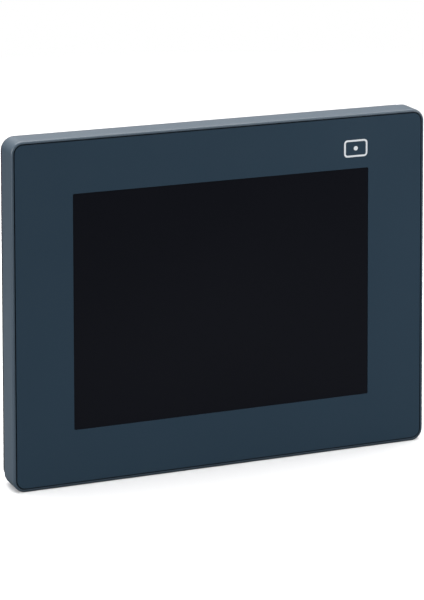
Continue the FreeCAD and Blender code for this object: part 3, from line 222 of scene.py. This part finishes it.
def rolled_metal(name, colour, rough=0.35, along=(1.0, 60.0, 60.0), depth=0.003):
    """Rolled or drawn sheet: long fine lines and a cloudy sheen. The lines run along the axis whose
    scale is 1, and depth is their height in millimetres."""
    look = Look(name)
    lines = look.noise(90.0, 5.0, 0.7, look.stretched(along))
    cloud = look.noise(45.0, 3.0)
    base = look.mix(look.spread(lines), scaled(colour, 0.86), scaled(colour, 1.1))
    look.set(Base_Color=base, Metallic=1.0)
    sheen = look.math("ADD", look.math("MULTIPLY", lines, 0.18), look.math("MULTIPLY", cloud, 0.14))
    look.set(Roughness=look.math("ADD", sheen, rough - 0.16))
    return look.bump(lines, depth * MM)


def zinc_plate(name, colour, rough=0.32, spangle=0.0):
    """Zinc-plated or galvanised steel: bright and slightly mottled. spangle is its crystals' size in
    millimetres, or 0 for none."""
    look = Look(name)
    mottle = look.noise(900.0, 4.0, 0.6)
    base = look.mix(look.spread(mottle), scaled(colour, 0.82), scaled(colour, 1.12))
    if spangle:
        crystals = look.cells(1.0 / (spangle * MM), output="Color")
        grey = look.node("ShaderNodeRGBToBW")
        look.feed(grey.inputs[0], crystals)
        base = look.mix(look.remap(grey.outputs[0], 0.2, 0.8, 0.0, 0.45), base, scaled(colour, 0.62))
    look.set(Base_Color=base, Metallic=1.0)
    look.set(Roughness=look.spread(mottle, rough - 0.08, rough + 0.12))
    return look.bump(mottle, 0.004 * MM)


def soft_rubber(name, colour, pore=0.5):
    """Dusty rubber or foam with open pores; pore is their size in millimetres."""
    look = Look(name)
    pores = look.cells(1.0 / (pore * MM))
    dust = look.noise(300.0, 4.0, 0.6)
    base = look.mix(look.remap(dust, 0.4, 0.75, 0.0, 0.5), colour, scaled(colour, 1.9))
    look.set(Base_Color=base, Roughness=look.spread(dust, 0.72, 0.9), Specular_IOR_Level=0.3)
    return look.bump(pores, 0.03 * MM)


def circuit_board(name, mask=(0.010, 0.085, 0.035)):
    """Green solder mask over copper: patches of tracks show as slightly lighter, raised lines."""
    look = Look(name)
    across = look.axes()
    face = look.node("ShaderNodeCombineXYZ")
    look.feed(face.inputs["X"], across["X"])
    look.feed(face.inputs["Y"], across["Z"])
    face = face.outputs["Vector"]
    tracks = look.node("ShaderNodeTexBrick", offset=0.37, squash=0.6)
    look.feed(tracks.inputs["Vector"], face)
    for key, number in (("Scale", 190.0), ("Mortar Size", 0.035), ("Mortar Smooth", 0.2), ("Bias", 0.0)):
        tracks.inputs[key].default_value = number
    tracks = tracks.outputs["Fac"]
    patch = look.remap(look.cells(70.0, face), 0.3, 0.35, 1.0, 0.0)
    share = look.math("MULTIPLY", tracks, patch)
    base = look.mix(share, mask, scaled(mask, 2.1))
    look.set(Base_Color=base, Roughness=look.spread(look.noise(400.0), 0.28, 0.42))
    return look.bump(share, 0.03 * MM)


def clear_sheet(name, tint, rough=0.05):
    """Glass or clear plastic with a faint haze."""
    look = Look(name)
    haze = look.noise(30.0, 3.0, 0.6)
    look.set(Base_Color=tint, Transmission_Weight=0.9, IOR=1.5)
    look.set(Roughness=look.spread(haze, rough, rough + 0.05))
    return look.bump(look.noise(220.0), 0.001 * MM)


SPACER_PITCH = 2.4 * MM


def dark_window(name):
    """The touch film's clear part over a display that is off, with the film's tiny spacer dots."""
    look = Look(name)
    drift = look.noise(7.0)
    base = look.mix(look.spread(drift), (0.0028, 0.0033, 0.0062), (0.0042, 0.0048, 0.0082))
    spacer = look.cells(1.0 / SPACER_PITCH)
    base = look.mix(look.remap(spacer, 0.03, 0.05, 0.25, 0.0), base, (0.007, 0.008, 0.010))
    look.set(Base_Color=base, Specular_IOR_Level=0.18)
    look.set(Roughness=look.spread(look.noise(30.0), 0.29, 0.31))
    return look.bump(look.noise(6000.0), 0.001 * MM)


BLUE_GREY = srgb(60, 74, 86)
SHELL_GREY = srgb(40, 43, 48)


def make_materials():
    steel = (0.56, 0.56, 0.54)
    looks = {
        "bezel": moulded_plastic("bezel_plastic", BLUE_GREY, rough=0.4),
        "film": printed_film("film_print", srgb(41, 60, 75)),
        "window": dark_window("display_window"),
        "glass": clear_sheet("touch_glass", (0.85, 0.9, 0.9)),
        "tail": moulded_plastic("amber_flex", (0.42, 0.17, 0.02), rough=0.25, grain=1.2, depth=0.004),
        "foam": soft_rubber("black_foam", (0.014, 0.014, 0.015)),
        "rubber": soft_rubber("gasket_rubber", (0.02, 0.02, 0.021), pore=0.8),
        "sheet_steel": rolled_metal("sheet_steel", steel),
        "galvanised": zinc_plate("galvanised_sheet", (0.62, 0.63, 0.64), spangle=4.0),
        "plated": zinc_plate("zinc_plated_steel", (0.58, 0.57, 0.52)),
        "tinned": zinc_plate("tinned_sheet", (0.72, 0.72, 0.7), rough=0.28),
        "white": moulded_plastic("white_plastic", (0.72, 0.72, 0.7)),
        "milky": moulded_plastic("milky_sheet", (0.8, 0.82, 0.84), rough=0.35),
        "acrylic": clear_sheet("clear_acrylic", (0.95, 0.97, 0.97), rough=0.02),
        "cell": dark_window("polarised_glass"),
        "board": circuit_board("green_board"),
        "package": moulded_plastic("moulded_package", (0.02, 0.02, 0.021), rough=0.6, grain=0.12),
        "cover": moulded_plastic("cover_plastic", SHELL_GREY, rough=0.5, specular=0.3),
        "module": moulded_plastic("module_plastic", srgb(56, 60, 66)),
        "tough": moulded_plastic("glass_filled_plastic", srgb(40, 42, 45), rough=0.42, grain=0.25),
        "black": moulded_plastic("black_plastic", srgb(34, 35, 37), rough=0.42, grain=0.2, depth=0.006),
        "light": moulded_plastic("light_grey_plastic", srgb(150, 152, 154), rough=0.45),
        "green": moulded_plastic("green_plastic", srgb(38, 120, 72), rough=0.4, grain=0.2, depth=0.006),
        "can": rolled_metal("can_sleeve", (0.5, 0.5, 0.52), rough=0.3, along=(40.0, 1.0, 40.0)),
        "ferrite": moulded_plastic("ferrite", (0.035, 0.035, 0.036), rough=0.65, grain=0.2, depth=0.01),
        "brass": rolled_metal("tinned_brass", (0.72, 0.62, 0.4), rough=0.3, along=(60.0, 60.0, 1.0)),
        "label": ruled_label("blank_label", srgb(188, 190, 193)),
        "print": printed_film("white_print", srgb(226, 230, 234)),
    }
    return {key: look.material for key, look in looks.items()}


NODE_LOOKS = {
    "bezel": ["front_bezel"],
    "film": ["decor_film"],
    "window": ["touch_film"],
    "glass": ["touch_glass"],
    "tail": ["touch_tail"],
    "foam": ["dust_gasket"],
    "rubber": ["panel_gasket"],
    "sheet_steel": ["lcd_frame", "ethernet_port", "usb_a_port", "usb_mini_b_port"],
    "galvanised": ["display_chassis"],
    "plated": ["chassis_screws", "rear_cover_screws", "neck_screws", "module_screws", "lock_washer",
               "plug_screw_1", "plug_screw_2", "plug_screw_3"],
    "tinned": ["cpu_shield"],
    "white": ["lcd_tray", "backlight_strip"],
    "milky": ["diffuser_sheets"],
    "acrylic": ["light_guide"],
    "cell": ["lcd_glass"],
    "board": ["display_board", "cpu_board"],
    "package": ["display_board_parts", "cpu_chips"],
    "cover": ["display_rear_cover"],
    "module": ["module_front_cover", "module_back_cover"],
    "tough": ["fixing_neck", "fixing_nut"],
    "black": ["neck_receptacle", "anti_rotation_tee", "link_plug", "serial_port", "din_clip"],
    "light": ["lock_slider"],
    "green": ["power_header", "power_plug"],
    "can": ["capacitors"],
    "ferrite": ["inductors"],
    "brass": ["header_pins", "plug_contacts", "plug_clamp_cage_1", "plug_clamp_cage_2", "plug_clamp_cage_3"],
    "label": ["rating_label"],
}


def dress_nodes(materials):
    for look, nodes in NODE_LOOKS.items():
        for node in nodes:
            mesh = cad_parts[node].data
            mesh.materials.clear()
            mesh.materials.append(materials[look])


# ---------------------------------------------------------------- edges

SOFT_EDGES = {
    # The rounding in millimetres and its nodes. Plates with a large window keep their own edges.
    0.25: ["module_front_cover", "module_back_cover", "din_clip", "lock_slider", "power_plug",
           "display_rear_cover", "fixing_nut", "anti_rotation_tee"],
    0.12: ["power_header", "serial_port", "ethernet_port", "lock_washer", "panel_gasket",
           "neck_receptacle", "link_plug", "lcd_tray"],
    0.05: ["usb_a_port", "usb_mini_b_port", "lcd_frame", "display_chassis", "cpu_shield",
           "plug_contacts", "header_pins", "rating_label"],
}


WELD_REACH = 0.001 * MM
FLAT_LIMIT = math.radians(0.5)
SHARP_LIMIT = math.radians(40)


def soften(node, width):
    """Round a CAD node's sharp edges with modifiers; its own mesh stays as it is."""
    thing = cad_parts[node]
    weld = thing.modifiers.new("weld", "WELD")
    weld.merge_threshold = WELD_REACH
    flat = thing.modifiers.new("flat", "DECIMATE")
    flat.decimate_type = "DISSOLVE"
    flat.angle_limit = FLAT_LIMIT
    bevel = thing.modifiers.new("bevel", "BEVEL")
    bevel.width = width * MM
    bevel.segments = 2
    bevel.limit_method = "ANGLE"
    bevel.angle_limit = SHARP_LIMIT
    bevel.use_clamp_overlap = True
    bevel.harden_normals = True


# ---------------------------------------------------------------- added pieces

def new_piece(name, vertices, faces, material, smooth=False):
    mesh = bpy.data.meshes.new(name)
    mesh.from_pydata([tuple(vertex) for vertex in vertices], [], faces)
    mesh.validate()
    mesh.materials.append(material)
    for face in mesh.polygons:
        face.use_smooth = smooth
    thing = bpy.data.objects.new(name, mesh)
    bpy.context.scene.collection.objects.link(thing)
    return thing


def swept_wire(path, radius, sides=12):
    """Vertices and faces of a round wire along a path, with flat ends."""
    vertices = []
    count = len(path)
    for i, point in enumerate(path):
        ahead = path[min(i + 1, count - 1)] - path[max(i - 1, 0)]
        across = ahead.cross(Vector((0.0, 0.0, 1.0))).normalized()
        up = across.cross(ahead).normalized()
        for side in range(sides):
            angle = 2 * math.pi * side / sides
            vertices.append(point + radius * (math.cos(angle) * across + math.sin(angle) * up))
    faces = []
    for i in range(count - 1):
        for side in range(sides):
            following = (side + 1) % sides
            ring, ring_after = i * sides, (i + 1) * sides
            faces.append((ring + side, ring_after + side, ring_after + following, ring + following))
    faces.append(tuple(range(sides)))
    faces.append(tuple(reversed(range((count - 1) * sides, count * sides))))
    return vertices, faces


SPRING_END_TURNS = 1.25
SPRING_TURNS = 8.0
SPRING_STEPS = 28
SPRING_WIRE = 0.3 * MM
# The end turns' pitch, as a multiple of the wire's radius: just above touching.
CLOSE_PITCH = 2.05


def build_spring(material):
    """The rail clip's compression spring, wound close at both ends. SPRING_WIRE is the wire's radius."""
    low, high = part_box("din_clip_spring")
    radius = (high[0] - low[0]) / 2 - SPRING_WIRE
    middle = Vector(((low[0] + high[0]) / 2, (low[1] + high[1]) / 2, 0.0))
    bottom = low[2] + SPRING_WIRE
    rise = high[2] - low[2] - 2 * SPRING_WIRE
    close_rise = CLOSE_PITCH * SPRING_WIRE * SPRING_END_TURNS
    open_turns = SPRING_TURNS - 2 * SPRING_END_TURNS
    path = []
    for step in range(int(SPRING_TURNS * SPRING_STEPS) + 1):
        turns = step / SPRING_STEPS
        if turns < SPRING_END_TURNS:
            height = close_rise * turns / SPRING_END_TURNS
        elif turns > SPRING_TURNS - SPRING_END_TURNS:
            height = rise - close_rise * (SPRING_TURNS - turns) / SPRING_END_TURNS
        else:
            share = (turns - SPRING_END_TURNS) / open_turns
            height = close_rise + (rise - 2 * close_rise) * share
        angle = 2 * math.pi * turns
        around = Vector((math.cos(angle), math.sin(angle), 0.0)) * radius
        path.append(middle + around + Vector((0.0, 0.0, bottom + height)))
    spring = new_piece("clip_spring", *swept_wire(path, SPRING_WIRE), material, smooth=True)
    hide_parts("din_clip_spring")
    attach(spring, "rear_module")
    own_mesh(spring)


PRINT_THICK = 0.02 * MM
# The pictogram's right edge and middle height, from the window's centre.
MARK_RIGHT = 58.0 * MM
MARK_MIDDLE = 51.6 * MM
MARK_SIZE = (9.6 * MM, 6.6 * MM)
MARK_CORNER = 1.4 * MM
MARK_LINE = 0.7 * MM
MARK_DOT = 0.85 * MM


def rounded_outline(half_wide, half_high, radius, steps=6):
    """Corner points of a rounded rectangle about the origin, counter-clockwise."""
    points = []
    for quarter, (sx, sz) in enumerate([(1, 1), (-1, 1), (-1, -1), (1, -1)]):
        for step in range(steps + 1):
            angle = math.pi / 2 * (quarter + step / steps)
            points.append((sx * (half_wide - radius) + radius * math.cos(angle),
                           sz * (half_high - radius) + radius * math.sin(angle)))
    return points


def add_strip(vertices, faces, outer, inner, centre, front):
    """A raised strip between two outlines, or a raised disc when inner is None."""
    x, z = centre
    count = len(outer)
    first = len(vertices)
    back = front + PRINT_THICK
    loops = [outer] if inner is None else [outer, inner]
    for y in (front, back):
        for loop in loops:
            vertices.extend((x + px, y, z + pz) for px, pz in loop)
    depth = count * len(loops)
    for loop in range(len(loops)):
        start = first + loop * count
        for i in range(count):
            j = (i + 1) % count
            side = (start + i, start + j, start + depth + j, start + depth + i)
            faces.append(side if loop == 0 else tuple(reversed(side)))
    if inner is None:
        faces.append(tuple(reversed(range(first, first + count))))
        faces.append(tuple(range(first + depth, first + depth + count)))
        return
    for i in range(count):
        j = (i + 1) % count
        faces.append((first + i, first + count + i, first + count + j, first + j))
        rear = first + depth
        faces.append((rear + i, rear + j, rear + count + j, rear + count + i))


def build_mark(material):
    """A small printed pictogram of a touched screen, above the window's right end."""
    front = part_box("decor_film")[0][1] - PRINT_THICK
    half_wide, half_high = MARK_SIZE[0] / 2, MARK_SIZE[1] / 2
    centre = (MARK_RIGHT - half_wide, MARK_MIDDLE)
    vertices, faces = [], []
    outer = rounded_outline(half_wide, half_high, MARK_CORNER)
    inner = rounded_outline(half_wide - MARK_LINE, half_high - MARK_LINE, MARK_CORNER - MARK_LINE)
    add_strip(vertices, faces, outer, inner, centre, front)
    dot = rounded_outline(MARK_DOT, MARK_DOT, MARK_DOT)
    add_strip(vertices, faces, dot, None, centre, front)
    mark = new_piece("touch_pictogram", vertices, faces, material)
    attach(mark, "display_module")


# ---------------------------------------------------------------- stage

FACE_Y = -17.7 * MM
# The viewpoint is given from the middle of the panel's face. The roll is in degrees.
CAMERA_PLACE = Vector((-0.3948, -1.0397, 0.2821)) + Vector((0.0, FACE_Y, 0.0))
CAMERA_AHEAD = Vector((0.4315, 0.8968, -0.0977))
CAMERA_ROLL = 0.378
# The lens and the sensor's long side, in millimetres.
FOCAL_LENGTH = 182.15
SENSOR = 36.0
NEAREST = 0.01
# The lens is shifted to keep the panel's uprights parallel; as shares of the picture's long side.
LENS_SHIFT = {"shift_x": -0.4508, "shift_y": -0.7753}
# Metres from its post within which the camera still has some of that shift.
SHIFT_REACH = 0.1


def shift_lens(camera, post):
    """Shift the lens while the camera stands at its post, and centre it anywhere else."""
    for channel, shift in LENS_SHIFT.items():
        curve = camera.data.driver_add(channel)
        for modifier in list(curve.modifiers):
            curve.modifiers.remove(modifier)
        curve.driver.type = "AVERAGE"
        distance = curve.driver.variables.new()
        distance.type = "LOC_DIFF"
        distance.targets[0].id = camera
        distance.targets[1].id = post
        for place, amount in ((0.0, shift), (SHIFT_REACH, 0.0)):
            key = curve.keyframe_points.insert(place, amount)
            key.interpolation = "LINEAR"


def place_camera():
    """The camera, and an empty that marks its post."""
    data = bpy.data.cameras.new("camera")
    data.sensor_width = SENSOR
    data.lens = FOCAL_LENGTH
    data.clip_start = NEAREST
    camera = bpy.data.objects.new("camera", data)
    bpy.context.scene.collection.objects.link(camera)
    turn = CAMERA_AHEAD.to_track_quat("-Z", "Y").to_matrix().to_4x4()
    roll = Matrix.Rotation(math.radians(CAMERA_ROLL), 4, "Z")
    camera.matrix_world = Matrix.Translation(CAMERA_PLACE) @ turn @ roll
    post = bpy.data.objects.new("camera_post", None)
    post.location = CAMERA_PLACE
    bpy.context.scene.collection.objects.link(post)
    shift_lens(camera, post)
    bpy.context.scene.camera = camera


def area_light(name, place, size, power):
    """A soft white lamp that faces the origin."""
    data = bpy.data.lights.new(name, "AREA")
    data.shape = "RECTANGLE"
    data.size, data.size_y = size
    data.energy = power
    lamp = bpy.data.objects.new(name, data)
    bpy.context.scene.collection.objects.link(lamp)
    turn = (-Vector(place)).to_track_quat("-Z", "Y").to_matrix().to_4x4()
    lamp.matrix_world = Matrix.Translation(place) @ turn


def seen_by_camera(tree):
    """1 for rays that come straight from the camera, 0 for light and reflections."""
    return tree.nodes.new("ShaderNodeLightPath").outputs["Is Camera Ray"]


FLOOR_HALF = 8.0
PAPER = (0.86, 0.86, 0.865), (0.89, 0.89, 0.895)
# The floor's colour in reflections and as a source of bounced light.
FLOOR_BOUNCE = (0.14, 0.145, 0.15)
# Distances in metres from the middle over which the floor turns into backdrop.
FLOOR_FADE = (0.25, 0.9)
BLACK = (0.0, 0.0, 0.0)
WHITE = (1.0, 1.0, 1.0)


def build_floor():
    """White paper that fades into the white backdrop. It is greyer to reflections than to the camera."""
    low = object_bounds()[0][2]
    corners = [(FLOOR_HALF * x, FLOOR_HALF * y, low) for x, y in ((-1, -1), (1, -1), (1, 1), (-1, 1))]
    mesh = bpy.data.meshes.new("floor")
    mesh.from_pydata(corners, [], [(0, 1, 2, 3)])
    floor = bpy.data.objects.new("floor", mesh)
    bpy.context.scene.collection.objects.link(floor)
    look = Look("floor_paper")
    tone = look.spread(look.noise(3.0))
    paper = look.mix(tone, *PAPER)
    reach = look.node("ShaderNodeVectorMath", operation="LENGTH")
    look.feed(reach.inputs[0], look.place)
    far = look.remap(reach.outputs["Value"], *FLOOR_FADE, 0.0, 1.0)
    seen = seen_by_camera(look.tree)
    glow = look.math("MULTIPLY", seen, far)
    look.set(Base_Color=look.mix(far, look.mix(seen, FLOOR_BOUNCE, paper), BLACK))
    look.set(Roughness=0.9, Specular_IOR_Level=0.0, Emission_Color=WHITE, Emission_Strength=glow)
    mesh.materials.append(look.material)


# The world's brightness for light and reflections, level with the floor and straight up.
HORIZON = 0.17
ZENITH = 1.0


def build_world():
    """White to the camera. To everything else it is dim at the horizon and bright overhead."""
    world = bpy.data.worlds.new("studio")
    bpy.context.scene.world = world
    world.use_nodes = True
    tree = world.node_tree
    background = tree.nodes["Background"]
    direction = tree.nodes.new("ShaderNodeTexCoord").outputs["Generated"]
    height = tree.nodes.new("ShaderNodeSeparateXYZ")
    tree.links.new(direction, height.inputs[0])
    rising = tree.nodes.new("ShaderNodeMapRange")
    tree.links.new(height.outputs[2], rising.inputs["Value"])
    for key, number in (("From Min", -0.1), ("From Max", 1.0), ("To Min", HORIZON), ("To Max", ZENITH)):
        rising.inputs[key].default_value = number
    strength = tree.nodes.new("ShaderNodeMix")
    tree.links.new(seen_by_camera(tree), strength.inputs[0])
    tree.links.new(rising.outputs[0], strength.inputs[2])
    strength.inputs[3].default_value = 1.0
    background.inputs["Color"].default_value = (*WHITE, 1.0)
    tree.links.new(strength.outputs[0], background.inputs["Strength"])


LIGHTS = {
    # Each lamp's place, its width and height, and its power in watts.
    "top": ((0.05, 0.45, 1.25), (1.4, 1.4), 22.0),
    "left": ((-1.45, -0.35, 0.35), (0.9, 1.2), 23.0),
    "right": ((1.5, 0.6, 0.5), (1.0, 1.2), 6.0),
    "behind": ((-0.1, 1.3, 1.4), (1.0, 0.8), 7.0),
    "face": ((0.45, -0.4, 0.3), (0.2, 0.2), 1.8),
}


def build_stage():
    build_floor()
    build_world()
    for name, (place, size, power) in LIGHTS.items():
        area_light(name, place, size, power)
    bpy.context.scene.view_settings.view_transform = "Standard"


materials = make_materials()
dress_nodes(materials)
for width, nodes in SOFT_EDGES.items():
    for node in nodes:
        soften(node, width)
build_spring(materials["plated"])
build_mark(materials["print"])
build_stage()
place_camera()
